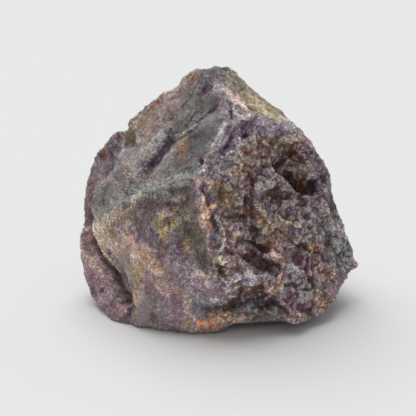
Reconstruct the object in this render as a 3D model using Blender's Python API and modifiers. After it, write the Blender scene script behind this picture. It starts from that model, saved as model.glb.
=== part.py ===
# Rough chunk of fluorite grown through with aquamarine-bearing rock, one broken piece that stands on its own base.
# Frame: the origin is on the floor under the middle of the stone, +Z is up, -Y faces the viewer, +X is to the right.
# The stone starts as the hull of its named corners. Dents, scarps and broken grain are then carved into its skin.

import bmesh
import bpy
import numpy as np
from mathutils import Vector, noise

MM = 0.001

# Driving dimensions
WIDTH = 51.2 * MM
DEPTH = 35.4 * MM
HEIGHT = 44.2 * MM
BASE_FLAT = 0.8 * MM  # what lies lower than this is worn down to the flat base
UNDERSIDE = -0.85  # skin that faces down more than this has no swell or grain

# Fineness of the mesh
BLOCK_VOXEL = 0.62 * MM
SKIN_VOXEL = 0.5 * MM
EDGE_ROUNDING_STEPS = 2
FACE_LIMIT = 9600

# Corners of the broken block: shares of half the width, half the depth, and the height
CORNERS = {
    "crest_left": (-0.145, 0.17, 0.985),
    "crest": (-0.045, 0.05, 1.005),
    "crest_right": (0.11, 0.17, 0.96),
    "shoulder_high": (0.305, 0.28, 0.85),
    "shoulder_mid": (0.47, 0.33, 0.785),
    "shoulder_low": (0.52, 0.28, 0.745),
    "right_top": (0.715, 0.28, 0.63),
    "right_upper": (0.81, 0.23, 0.535),
    "right_mid": (0.875, 0.11, 0.42),
    "right_low": (0.97, 0.05, 0.28),
    "tip": (1.03, 0.03, 0.15),
    "tip_under": (0.90, -0.05, 0.11),
    "right_heel": (0.84, -0.32, 0.055),
    "right_foot": (0.745, -0.68, 0.03),
    "under_right": (0.60, -0.86, 0.033),
    "under_left": (0.05, -0.83, 0.045),
    "sole_right": (0.56, -0.22, 0.0),
    "foot_front": (-0.16, -0.85, 0.0),
    "foot_front_left": (-0.37, -0.78, 0.0),
    "foot_left": (-0.57, -0.67, 0.0),
    "foot_left_back": (-0.76, -0.50, 0.0),
    "heel_left": (-0.93, -0.19, 0.015),
    "left_low": (-0.94, 0.11, 0.05),
    "left_lower": (-0.985, 0.20, 0.136),
    "left_bump": (-1.0, 0.17, 0.258),
    "left_mid": (-0.955, 0.28, 0.385),
    "left_upper": (-0.98, 0.33, 0.45),
    "left_shoulder": (-0.91, 0.40, 0.595),
    "left_rise": (-0.82, 0.45, 0.653),
    "left_step": (-0.685, 0.45, 0.656),
    "left_slope": (-0.608, 0.45, 0.703),
    "left_high": (-0.46, 0.40, 0.792),
    "left_top": (-0.358, 0.33, 0.873),
    "knee": (0.19, -0.45, 0.83),
    "knee_left": (0.125, -0.54, 0.823),
    "vein_top": (-0.025, -0.65, 0.74),
    "vein_foot": (-0.10, -0.73, 0.68),
    "front_high": (-0.085, -0.88, 0.572),
    "front_mid": (0.035, -0.96, 0.423),
    "front_low": (0.02, -1.0, 0.326),
    "front_toe": (-0.01, -1.0, 0.188),
    "rim_left": (0.455, -0.17, 0.77),
    "rim_right": (0.58, 0.0, 0.717),
    "left_ridge_far": (-0.80, -0.05, 0.346),
    "left_ridge": (-0.57, -0.40, 0.502),
    "left_ridge_near": (-0.34, -0.62, 0.593),
    "tongue_tip": (-0.60, -0.72, 0.118),
    "tongue_side": (-0.74, -0.36, 0.23),
    "back_left_high": (-0.47, 0.92, 0.60),
    "back_high": (0.16, 1.0, 0.66),
    "back_right_high": (0.59, 0.86, 0.50),
    "back_right": (0.83, 0.62, 0.22),
    "back_right_foot": (0.60, 0.80, 0.0),
    "back_foot": (-0.16, 1.0, 0.05),
    "back_left_foot": (-0.62, 0.74, 0.0),
    "back_left": (-0.83, 0.56, 0.36),
    "back_crest": (0.31, 0.66, 0.79),
}

# Dents and ribs along a line on the skin: from, to, reach and depth in mm. A negative depth stands out.
DENTS = {
    # left of the front ridge
    "hollow_under_tongue": ((-0.85, -0.05, 0.25), (-0.65, -0.54, 0.09), 3.4, 1.5),
    "hollow_at_tongue_tip": ((-0.58, -0.68, 0.19), (-0.57, -0.72, 0.13), 1.3, 0.8),
    "crease_at_foot": ((-0.60, -0.70, 0.10), (-0.63, -0.66, 0.01), 1.3, 0.9),
    "lobe_pit": ((-0.83, -0.20, 0.12), (-0.83, -0.20, 0.12), 0.9, 0.5),
    "lobe_swell": ((-0.90, -0.10, 0.15), (-0.72, -0.45, 0.04), 3.6, -0.9),
    "violet_trough": ((-0.32, -0.28, 0.73), (-0.50, -0.26, 0.61), 2.3, 0.9),
    "trough_foot": ((-0.50, -0.26, 0.61), (-0.62, -0.27, 0.53), 1.9, 0.4),
    "sparkle_band": ((-0.36, -0.20, 0.73), (-0.67, -0.06, 0.58), 1.7, -0.7),
    "slope_waist": ((-0.45, -0.45, 0.60), (-0.20, -0.58, 0.70), 3.0, 0.4),
    "slope_pit": ((-0.05, -0.69, 0.70), (-0.08, -0.68, 0.70), 1.2, 0.9),
    "crest_hollow": ((-0.12, -0.12, 0.92), (-0.04, -0.13, 0.94), 2.0, 1.2),
    "brow": ((-0.60, -0.38, 0.48), (-0.12, -0.75, 0.63), 1.8, -0.7),
    "seam_groove": ((-0.26, -0.82, 0.41), (-0.22, -0.89, 0.23), 0.9, 0.35),
    "front_hollow": ((-0.20, -0.83, 0.42), (-0.12, -0.92, 0.26), 3.0, 1.1),
    # the crest band and the vein that runs down from the knee
    "crest_band": ((0.01, -0.22, 0.915), (0.10, -0.46, 0.845), 1.0, -0.45),
    "crest_band_slot": ((0.06, -0.34, 0.885), (0.12, -0.46, 0.84), 0.8, 0.8),
    "vein_lip": ((0.08, -0.50, 0.83), (-0.10, -0.67, 0.69), 1.0, -0.45),
    "vein_trough": ((0.17, -0.50, 0.80), (-0.02, -0.71, 0.68), 1.3, 0.45),
    "front_lens": ((0.02, -0.88, 0.47), (0.06, -0.97, 0.33), 1.8, -1.3),
    "lens_slot": ((-0.01, -0.86, 0.53), (0.04, -0.88, 0.42), 0.8, 0.6),
    "groove_high": ((0.06, -0.72, 0.56), (0.13, -0.77, 0.47), 1.4, 1.0),
    "groove_mid": ((0.13, -0.77, 0.47), (0.155, -0.85, 0.385), 1.5, 1.3),
    "groove_low": ((0.155, -0.85, 0.385), (0.12, -0.92, 0.28), 1.4, 1.0),
    # the broken right face, from its rim down
    "rim_pit": ((0.19, -0.47, 0.79), (0.20, -0.47, 0.78), 1.2, 1.3),
    "rim_hollow": ((0.33, -0.33, 0.75), (0.46, -0.18, 0.73), 1.7, 1.1),
    "rim_knob": ((0.54, -0.10, 0.71), (0.55, -0.09, 0.71), 1.6, -0.8),
    "upper_ledge": ((0.30, -0.46, 0.65), (0.47, -0.29, 0.62), 1.5, 1.2),
    "shadow_hollow": ((0.50, -0.29, 0.60), (0.60, -0.22, 0.54), 3.0, 3.4),
    "shadow_hollow_foot": ((0.60, -0.20, 0.53), (0.71, -0.10, 0.50), 1.9, 1.5),
    "hollow_brow": ((0.62, -0.12, 0.61), (0.72, -0.02, 0.57), 2.2, -0.9),
    "side_swell": ((0.84, 0.00, 0.36), (0.86, -0.02, 0.27), 2.6, -0.7),
    "upright_slot": ((0.30, -0.50, 0.62), (0.29, -0.60, 0.47), 1.3, 1.8),
    "middle_hole": ((0.25, -0.63, 0.50), (0.26, -0.62, 0.52), 1.7, 2.4),
    "block": ((0.17, -0.76, 0.45), (0.16, -0.78, 0.42), 1.6, -0.7),
    "dark_ledge": ((0.10, -0.86, 0.385), (0.38, -0.66, 0.31), 1.2, 1.7),
    "dark_vug": ((0.22, -0.85, 0.32), (0.36, -0.75, 0.25), 2.7, 3.8),
    "vug_step": ((0.20, -0.85, 0.30), (0.24, -0.83, 0.29), 1.1, -0.9),
    "right_hole": ((0.58, -0.39, 0.31), (0.65, -0.33, 0.28), 1.6, 2.4),
    "rib_slot_left": ((0.60, -0.41, 0.27), (0.61, -0.45, 0.20), 0.8, 0.9),
    "rib_slot_right": ((0.66, -0.35, 0.26), (0.67, -0.39, 0.19), 0.8, 0.9),
    "side_slot": ((0.74, -0.31, 0.20), (0.70, -0.42, 0.12), 1.3, 0.9),
    "low_vug": ((0.09, -0.87, 0.125), (0.40, -0.71, 0.10), 2.2, 3.3),
    "low_vug_peak": ((0.25, -0.80, 0.14), (0.26, -0.80, 0.19), 2.3, 2.4),
    "low_slot": ((0.36, -0.74, 0.13), (0.50, -0.60, 0.06), 1.3, 1.5),
    "underside_arch": ((0.10, -0.66, 0.0), (0.46, -0.46, 0.0), 2.6, 0.9),
    "arch_lip": ((0.14, -0.84, 0.035), (0.42, -0.84, 0.035), 3.0, 1.3),
    # steps of the outline, seen against the light
    "tip_spur": ((0.96, 0.02, 0.15), (1.03, 0.03, 0.145), 1.6, -1.1),
    "left_lobe": ((-0.80, 0.28, 0.64), (-0.74, 0.30, 0.68), 3.0, -0.9),
    "left_lobe_notch": ((-0.67, 0.44, 0.695), (-0.65, 0.12, 0.68), 2.0, 2.3),
    "lobe_foot_notch": ((-0.87, 0.32, 0.60), (-0.84, 0.20, 0.59), 1.3, 0.8),
    "crest_notch": ((-0.31, 0.34, 0.90), (-0.30, 0.15, 0.88), 2.0, 1.4),
    "bump_notch": ((-0.96, 0.20, 0.34), (-0.94, 0.10, 0.33), 1.8, 0.9),
    "side_notch": ((0.80, 0.17, 0.48), (0.83, 0.10, 0.42), 2.0, 0.9),
}

# Scarps, where the skin drops on the right of a line walked from its first point to its last:
# from, to, drop, width of the drop, and how far the low side runs out, in mm
SCARPS = {
    "tongue_edge": ((-0.89, 0.01, 0.31), (-0.60, -0.68, 0.12), 2.2, 0.6, 8.0),
    "flake_edge": ((-0.40, -0.17, 0.72), (-0.01, -0.24, 0.91), 0.7, 0.5, 5.0),
    "brow_edge": ((-0.60, -0.38, 0.48), (-0.12, -0.76, 0.64), 1.1, 0.9, 9.0),
    "knee_edge": ((0.25, -0.40, 0.79), (0.03, -0.77, 0.60), 1.2, 0.8, 9.0),
    "rim_edge": ((0.25, -0.40, 0.80), (0.60, -0.02, 0.70), 0.8, 0.7, 8.0),
}

# Broken grain by the way the skin faces: direction, how closely the skin has to face it, and
# (size, relief) in mm of each layer of grains
GRAIN = {
    "right_face": ((0.62, -0.76, 0.15), 0.80, ((5.0, 1.1), (2.4, 0.7))),
    "left_foot_face": ((-0.45, -0.88, 0.05), 0.85, ((5.5, 0.55), (2.6, 0.25))),
    "left_slope": ((-0.50, -0.55, 0.66), 0.80, ((7.0, 0.45), (3.0, 0.18))),
    "right_slope": ((0.45, -0.20, 0.87), 0.85, ((6.0, 0.4), (2.6, 0.2))),
    "back": ((0.05, 0.95, 0.25), 0.30, ((6.5, 0.8), (2.8, 0.3))),
}
SWELL = (9.0, 0.45)  # size and height in mm of the slow waves over the whole skin


def place(share):
    """Turns shares of the driving dimensions into a point in metres."""
    return Vector((share[0] * WIDTH / 2, share[1] * DEPTH / 2, share[2] * HEIGHT))


def smooth_step(value):
    t = np.clip(value, 0.0, 1.0)
    return t * t * (3.0 - 2.0 * t)


def hull_object(name, corners):
    """The block that the named corners enclose."""
    shell = bmesh.new()
    for share in corners.values():
        shell.verts.new(place(share))
    hull = bmesh.ops.convex_hull(shell, input=shell.verts)
    spare = {v for v in hull["geom_interior"] + hull["geom_unused"] if isinstance(v, bmesh.types.BMVert)}
    bmesh.ops.delete(shell, geom=list(spare), context="VERTS")
    bmesh.ops.recalc_face_normals(shell, faces=shell.faces)
    mesh = bpy.data.meshes.new(name)
    shell.to_mesh(mesh)
    shell.free()
    stone = bpy.data.objects.new(name, mesh)
    bpy.context.scene.collection.objects.link(stone)
    return stone


def apply_modifiers(stone):
    """Makes the object's evaluated mesh its own, so that the next step can move its points."""
    graph = bpy.context.evaluated_depsgraph_get()
    mesh = bpy.data.meshes.new_from_object(stone.evaluated_get(graph))
    stone.modifiers.clear()
    old = stone.data
    stone.data = mesh
    bpy.data.meshes.remove(old)


def remesh(stone, voxel):
    even = stone.modifiers.new("Even skin", "REMESH")
    even.mode = "VOXEL"
    even.voxel_size = voxel
    apply_modifiers(stone)


def read_points(mesh):
    points = np.empty(len(mesh.vertices) * 3)
    mesh.vertices.foreach_get("co", points)
    return points.reshape(-1, 3)


def read_normals(mesh):
    normals = np.empty(len(mesh.vertices) * 3)
    mesh.vertices.foreach_get("normal", normals)
    return normals.reshape(-1, 3)


def along_line(points, start, end):
    """Each point's place along the line, from 0 to 1, and its offset from the nearest point of the line."""
    start, line = np.array(place(start)), np.array(place(end)) - np.array(place(start))
    length_squared = max(line @ line, 1e-12)
    share = np.clip((points - start) @ line / length_squared, 0.0, 1.0)
    return share, points - (start + share[:, None] * line)


def dent_depth(points, start, end, reach, depth):
    _, offset = along_line(points, start, end)
    away = np.linalg.norm(offset, axis=1) / (reach * MM)
    return depth * MM * np.clip(1.0 - away**2, 0.0, None) ** 2


def scarp_depth(points, normals, start, end, drop, width, run):
    share, offset = along_line(points, start, end)
    line = np.array(place(end)) - np.array(place(start))
    across = np.cross(line, normals)
    across /= np.maximum(np.linalg.norm(across, axis=1), 1e-12)[:, None]
    side = np.einsum("ij,ij->i", offset, across) / MM
    past_end = np.linalg.norm(offset, axis=1) / MM - np.abs(side)
    fall = smooth_step(side / width) * (1.0 - smooth_step(side / run))
    ends = np.sin(np.pi * np.clip(share, 0.02, 0.98)) ** 0.5 * (1.0 - smooth_step(past_end / width))
    return drop * MM * fall * ends


def grain_height(points, size, relief):
    """Flat-faced broken grains: each cell of the pattern is a small plane with its own tilt and level."""
    heights = np.empty(len(points))
    for i, point in enumerate(points):
        spot = Vector(point) / (size * MM)
        _, centres = noise.voronoi(spot)
        centre = Vector(centres[0])
        tilt = noise.cell_vector(centre * 5.3) - Vector((0.5, 0.5, 0.5))
        level = noise.cell(centre * 9.1) - 0.5
        heights[i] = (spot - centre).dot(tilt) * 1.6 + level * 0.7
    return heights * relief * MM


def swell_height(points, size, height):
    return np.array([noise.noise(Vector(p) / (size * MM)) for p in points]) * height * MM


def carve(stone):
    """Moves the skin's points in and out along its own direction."""
    mesh = stone.data
    points, normals = read_points(mesh), read_normals(mesh)
    height = swell_height(points, *SWELL)
    for facing, limit, layers in GRAIN.values():
        direction = np.array(Vector(facing).normalized())
        share = smooth_step((normals @ direction - limit + 0.12) / 0.12)
        chosen = share > 0.0
        for size, relief in layers:
            height[chosen] += grain_height(points[chosen], size, relief) * share[chosen]
    height[normals[:, 2] < UNDERSIDE] = 0.0
    for start, end, reach, depth in DENTS.values():
        height -= dent_depth(points, start, end, reach, depth)
    for start, end, drop, width, run in SCARPS.values():
        height -= scarp_depth(points, normals, start, end, drop, width, run)
    points += normals * height[:, None]
    mesh.vertices.foreach_set("co", points.ravel())
    mesh.update()


def fill_pockets(stone):
    """Keeps the outer skin alone, so that no pocket stays closed in under it."""
    skin = bmesh.new()
    skin.from_mesh(stone.data)
    left, shells = set(skin.verts), []
    while left:
        shell, edge = set(), [left.pop()]
        while edge:
            vert = edge.pop()
            shell.add(vert)
            near = {e.other_vert(vert) for e in vert.link_edges} & left
            left -= near
            edge.extend(near)
        shells.append(shell)
    outer = max(shells, key=len)
    bmesh.ops.delete(skin, geom=[v for v in skin.verts if v not in outer], context="VERTS")
    skin.to_mesh(stone.data)
    skin.free()


def thin_out(stone, face_limit):
    """Keeps the faces where the skin bends and drops them where it's flat."""
    thin = stone.modifiers.new("Fewer faces", "DECIMATE")
    thin.use_collapse_triangulate = True
    thin.ratio = face_limit / (2 * len(stone.data.polygons))
    apply_modifiers(stone)


def fit_to_size(stone):
    """Wears the base flat and brings the stone to its driving dimensions, centred over the origin."""
    points = read_points(stone.data)
    points[:, 2] -= points[:, 2].min()
    points[points[:, 2] < BASE_FLAT, 2] = 0.0
    low, high = points.min(axis=0), points.max(axis=0)
    middle = (low + high) / 2
    middle[2] = 0.0
    points = (points - middle) * np.array((WIDTH, DEPTH, HEIGHT)) / (high - low)
    stone.data.vertices.foreach_set("co", points.ravel())
    stone.data.update()


def stone_material():
    material = bpy.data.materials.new("violet_fluorite_rock")
    material.use_nodes = True
    shader = material.node_tree.nodes["Principled BSDF"]
    shader.inputs["Base Color"].default_value = (0.16, 0.13, 0.14, 1.0)
    shader.inputs["Roughness"].default_value = 0.6
    shader.inputs["Metallic"].default_value = 0.0
    return material


def main():
    for old in list(bpy.data.objects):
        bpy.data.objects.remove(old, do_unlink=True)
    stone = hull_object("stone", CORNERS)
    remesh(stone, BLOCK_VOXEL)
    rounding = stone.modifiers.new("Rounded edges", "SMOOTH")
    rounding.iterations = EDGE_ROUNDING_STEPS
    apply_modifiers(stone)
    carve(stone)
    remesh(stone, SKIN_VOXEL)
    fill_pockets(stone)
    thin_out(stone, FACE_LIMIT)
    fit_to_size(stone)
    stone.data.materials.append(stone_material())


main()
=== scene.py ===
import math

import bpy
import numpy as np
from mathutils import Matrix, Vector
from mathutils.bvhtree import BVHTree


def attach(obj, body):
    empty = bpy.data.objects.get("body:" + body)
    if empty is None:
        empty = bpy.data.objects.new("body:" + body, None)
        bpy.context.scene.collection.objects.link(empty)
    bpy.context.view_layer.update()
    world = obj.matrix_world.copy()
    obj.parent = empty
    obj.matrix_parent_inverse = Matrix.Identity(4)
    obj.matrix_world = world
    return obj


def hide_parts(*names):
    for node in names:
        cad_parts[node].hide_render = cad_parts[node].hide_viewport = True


# Looks for a rough stone of violet fluorite in grey-green rock.
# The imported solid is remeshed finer, its broken grain, cracks and ledges are sculpted in,
# and its colours are painted as named strokes. Strokes are placed on the front view,
# in points of a frame that is 416 points wide and high.

mm = 0.001
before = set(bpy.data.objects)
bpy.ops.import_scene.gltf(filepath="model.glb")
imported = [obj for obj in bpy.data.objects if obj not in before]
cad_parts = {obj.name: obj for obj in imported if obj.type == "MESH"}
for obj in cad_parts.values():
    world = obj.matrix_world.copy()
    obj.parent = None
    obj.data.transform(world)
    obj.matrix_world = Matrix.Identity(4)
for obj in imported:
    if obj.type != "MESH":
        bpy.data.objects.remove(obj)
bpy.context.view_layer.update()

frontView = {
    "aim": (-2.1, 0.0, 18.2),  # mm, what the middle of the frame looks at
    "distance": 210.0,  # mm
    "elevation": 20.0,  # degrees above the floor
    "pointSize": 0.18,  # mm of stone in one point of the frame
    "points": 416,
    "sensor": 36.0,  # mm
}


def addObject(name, data):
    thing = bpy.data.objects.new(name, data)
    bpy.context.scene.collection.objects.link(thing)
    return thing


def viewAxes(look):
    tilt = math.radians(look["elevation"])
    right = np.array((1.0, 0.0, 0.0))
    forward = np.array((0.0, math.cos(tilt), -math.sin(tilt)))
    return right, forward, np.cross(right, forward)


def makeCamera(look):
    forward = viewAxes(look)[1]
    camera = addObject("camera", bpy.data.cameras.new("camera"))
    camera.data.sensor_width = look["sensor"]
    camera.data.lens = look["sensor"] * look["distance"] / (look["points"] * look["pointSize"])
    camera.data.clip_start = 0.01
    camera.data.clip_end = 10.0
    camera.location = (np.array(look["aim"]) - forward * look["distance"]) * mm
    camera.rotation_mode = "QUATERNION"
    camera.rotation_quaternion = Vector(forward).to_track_quat("-Z", "Y")
    bpy.context.scene.camera = camera


makeCamera(frontView)
print("camera placed")


# Noise on whole-number lattices, the same on each run
def hashUnit(x, y, z, seed):
    h = (x * 73856093) ^ (y * 19349663) ^ (z * 83492791) ^ (seed * 40503 + 977)
    h = h & 0xFFFFFFFF
    h = ((h ^ (h >> 13)) * 1274126177) & 0xFFFFFFFF
    h = ((h ^ (h >> 15)) * 668265263) & 0xFFFFFFFF
    return (h ^ (h >> 16)) / 4294967296.0


def smoothStep(value):
    t = np.clip(value, 0.0, 1.0)
    return t * t * (3.0 - 2.0 * t)


def softNoise(points, size, seed, octaves=1):  # from -1 to 1
    total, share, weight = np.zeros(len(points)), 1.0, 0.0
    for octave in range(octaves):
        spot = points / (size * share)
        low = np.floor(spot).astype(np.int64)
        f = smoothStep(spot - low)
        value = np.zeros(len(points))
        for corner in range(8):
            step = np.array((corner & 1, corner >> 1 & 1, corner >> 2 & 1))
            weights = np.where(step, f, 1.0 - f).prod(axis=1)
            value += weights * hashUnit(*(low + step).T, seed + octave * 17)
        total += (value * 2.0 - 1.0) * share
        weight += share
        share *= 0.5
    return total / weight


def grainCells(points, size, seed):
    # each point's nearest grain: offset from its middle, gap to the next grain,
    # and three numbers of its own
    spot = points / size
    low = np.floor(spot).astype(np.int64)
    count = len(points)
    near, second = np.full(count, 9.0), np.full(count, 9.0)
    offset, own = np.zeros((count, 3)), np.zeros((count, 3))
    for corner in range(27):
        cell = low + np.array((corner % 3 - 1, corner // 3 % 3 - 1, corner // 9 - 1))
        jitter = np.stack([hashUnit(*cell.T, seed + k) for k in range(3)], axis=1)
        away = spot - (cell + 0.1 + 0.8 * jitter)
        distance = np.linalg.norm(away, axis=1)
        closer = distance < near
        second = np.where(closer, near, np.minimum(second, distance))
        near = np.where(closer, distance, near)
        offset[closer] = away[closer]
        own[closer] = jitter[closer]
    return offset, second - near, own


def brokenGrain(points, size, seed):
    # flat-faced grains, each with its own tilt and level, from about -0.7 to 0.7
    offset, gap, own = grainCells(points, size, seed)
    tilt = own[:, [1, 2, 0]] * 7.13 % 1.0 - 0.5
    level = own[:, 0] * 5.37 % 1.0 - 0.5
    return np.einsum("ij,ij->i", offset, tilt) * 1.5 + level * 0.8, gap, own


# The skin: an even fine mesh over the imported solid, still without its small relief
skinMesh = {
    "voxel": 0.33,  # mm
    "softenRounds": 5,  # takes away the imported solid's flat triangles
}


def makeSkin(node, made):
    skin = addObject("stone_skin", node.data.copy())
    even = skin.modifiers.new("even", "REMESH")
    even.mode = "VOXEL"
    even.voxel_size = made["voxel"] * mm
    soft = skin.modifiers.new("soft", "SMOOTH")
    soft.iterations = made["softenRounds"]
    graph = bpy.context.evaluated_depsgraph_get()
    mesh = bpy.data.meshes.new_from_object(skin.evaluated_get(graph))
    skin.modifiers.clear()
    skin.data = mesh
    return skin


def readVectors(mesh, kind):
    values = np.empty(len(mesh.vertices) * 3)
    mesh.vertices.foreach_get(kind, values)
    return values.reshape(-1, 3)


def readPoints(mesh):  # mm
    return readVectors(mesh, "co") / mm


def readNormals(mesh):
    return readVectors(mesh, "normal")


def writePoints(mesh, points):
    mesh.vertices.foreach_set("co", (points * mm).ravel())
    mesh.update()


def relaxed(mesh, at, rounds, weight=1.0):
    # each point moved towards the middle of its neighbours, again and again
    edges = np.empty(len(mesh.edges) * 2, np.int32)
    mesh.edges.foreach_get("vertices", edges)
    one = np.concatenate((edges[0::2], edges[1::2]))
    other = np.concatenate((edges[1::2], edges[0::2]))
    neighbours = np.maximum(np.bincount(one, minlength=len(at)), 1)
    for _ in range(rounds):
        middle = np.stack([np.bincount(one, at[other, k], len(at)) / neighbours for k in range(3)], axis=1)
        at = at + (middle - at) * weight
    return at


skin = makeSkin(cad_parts["stone"], skinMesh)
print("skin:", len(skin.data.vertices), "points")


# Strokes: lines drawn on the front view and thrown onto the skin
def makeSeen(mesh, look):
    tree = BVHTree.FromPolygons(readPoints(mesh).tolist(), [p.vertices[:] for p in mesh.polygons])
    right, forward, up = viewAxes(look)
    aim = np.array(look["aim"])
    eye = aim - forward * look["distance"]
    middle = look["points"] / 2

    def seen(u, v):
        target = aim + (right * (u - middle) + up * (middle - v)) * look["pointSize"]
        return tree.ray_cast(Vector(eye), Vector(target - eye).normalized())[0]
    return seen


def throwLine(seen, line, step=2.5):
    # the line's points on the skin, close together; places beside the stone are left out
    hits = []
    for (u0, v0), (u1, v1) in zip(line, line[1:] or line):
        pieces = max(1, math.ceil(math.hypot(u1 - u0, v1 - v0) / step))
        for k in range(pieces + 1):
            hit = seen(u0 + (u1 - u0) * k / pieces, v0 + (v1 - v0) * k / pieces)
            if hit is not None:
                hits.append(np.array(hit))
    return hits


def strokeDistance(points, hits, reach, far=9.0, jump=3.0):
    # distance from each point to the line in shares of reach; far is for points that aren't close,
    # and the line stays open where it jumps over a hollow, by more than the jump in mm
    away = np.full(len(points), far)
    if not hits:
        return away
    hits = np.array(hits)
    low, high = hits.min(axis=0) - 2 * reach, hits.max(axis=0) + 2 * reach
    close = np.flatnonzero(np.all((points > low) & (points < high), axis=1))
    spots = points[close]
    best = np.full(len(close), np.inf)
    for a, b in zip(hits, hits[1:] if len(hits) > 1 else hits):
        line = b - a
        length = line @ line
        if length > jump * jump:
            line, length = line * 0.0, 1.0
        share = np.clip((spots - a) @ line / max(length, 1e-9), 0.0, 1.0)
        best = np.minimum(best, ((spots - a - share[:, None] * line) ** 2).sum(axis=1))
    away[close] = np.sqrt(best) / reach
    return away


strokeEdges = {
    "wander": [(2.4, 0.8, 11), (0.9, 0.4, 31)],  # size and reach in mm, and a seed
    "fraySize": 0.6,
}


def wanderAlong(axis):
    return sum(softNoise(points, size, seed + axis) * reach for size, reach, seed in strokeEdges["wander"])


seen = makeSeen(skin.data, frontView)
points = readPoints(skin.data)
wander = np.stack([wanderAlong(axis) for axis in range(3)], axis=1)
fray = softNoise(points, strokeEdges["fraySize"], 41, 2)


# What each part of the surface is like: grainy and broken, or smooth and satin
surface = {
    "hiddenGrain": 0.25, "hiddenPatchGrain": 0.55, "hiddenPatchSize": 8.0,  # sides that no stroke reaches
    # (reach in mm, strength, line)
    "grainy": [
        (5.0, 1.0, [(250, 150), (300, 150), (320, 180)]),
        (5.0, 1.0, [(240, 185), (290, 190), (325, 210)]),
        (5.0, 1.0, [(240, 225), (290, 230), (340, 245)]),
        (5.0, 1.0, [(235, 275), (290, 275), (340, 262)]),
        (4.0, 1.0, [(235, 305), (290, 305), (320, 300)]),
    ],
    "satin": [
        (2.6, 1.0, [(214, 105), (216, 128), (204, 146)]),
        (2.2, 0.8, [(195, 98), (182, 118)]),
        (1.6, 0.6, [(193, 160), (168, 168), (152, 180)]),
        (1.6, 1.0, [(145, 300), (142, 322)]),
        (1.5, 0.8, [(118, 262), (130, 282)]),
    ],
    "wornRounds": 140,
    "worn": [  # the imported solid's steps are smoothed away here
        (2.6, 1.0, [(106, 244), (113, 256), (121, 270), (128, 284)]),
        (1.6, 0.8, [(206, 108), (196, 120), (184, 132)]),
        (1.8, 0.7, [(172, 138), (158, 152), (148, 164)]),
    ],
    "streaky": [
        (2.4, 1.0, [(242, 124), (228, 144), (208, 166)]),
        (2.0, 1.0, [(202, 184), (206, 206), (214, 226), (216, 248)]),
        (2.0, 0.7, [(146, 224), (156, 244)]),
        (2.0, 0.6, [(306, 256), (310, 280)]),
    ],
}


def strokeShape(reach, line, fraying=0.0):
    # 1 along the line, falling to 0 past reach; its edge wanders, less for thin strokes, and is frayed
    away = strokeDistance(points + wander * min(1.0, reach / 1.5), throwLine(seen, line), reach)
    return smoothStep(1.4 - away + fraying * fray)


def ledgeShape(reach, line, edge=0.35):
    # 1 beside the line, on the left of a line drawn downwards, fading over reach;
    # 0 on its other side, past an edge that wide in mm
    bent = points + 0.4 * wander
    hits = throwLine(seen, line)
    plane = np.stack(viewAxes(frontView)[::2]).T
    flat, path = bent @ plane, np.array(hits) @ plane
    nearest, signed = np.full(len(points), np.inf), np.zeros(len(points))
    for a, b in zip(path, path[1:]):
        along, offset = b - a, flat - a
        share = np.clip(offset @ along / max(along @ along, 1e-9), 0.0, 1.0)
        gap = np.linalg.norm(offset - share[:, None] * along, axis=1)
        side = np.sign(along[1] * offset[:, 0] - along[0] * offset[:, 1])
        signed = np.where(gap < nearest, side * gap, signed)
        nearest = np.minimum(gap, nearest)
    return smoothStep(signed / edge + 0.3) * smoothStep(1.0 - strokeDistance(bent, hits, reach))


def strokeWeight(strokes):
    weight = np.zeros(len(points))
    for reach, strength, line in strokes:
        weight = np.maximum(weight, strength * strokeShape(reach, line))
    return weight


worn = strokeWeight(surface["worn"])
writePoints(skin.data, relaxed(skin.data, points, surface["wornRounds"], worn[:, None]))
normals = readNormals(skin.data)
hiddenSide = smoothStep(normals[:, 1] * 2.0 + 0.2)  # faces away from the front view
roughPlaces = hiddenSide * smoothStep(softNoise(points, surface["hiddenPatchSize"], 81, 2) * 2.4 + 0.5)
hiddenGrain = hiddenSide * surface["hiddenGrain"] + roughPlaces * surface["hiddenPatchGrain"]
grainy = np.maximum(strokeWeight(surface["grainy"]), hiddenGrain)
satin = strokeWeight(surface["satin"])
grainy = grainy * (1.0 - satin)
streaky = strokeWeight(surface["streaky"])


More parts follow.
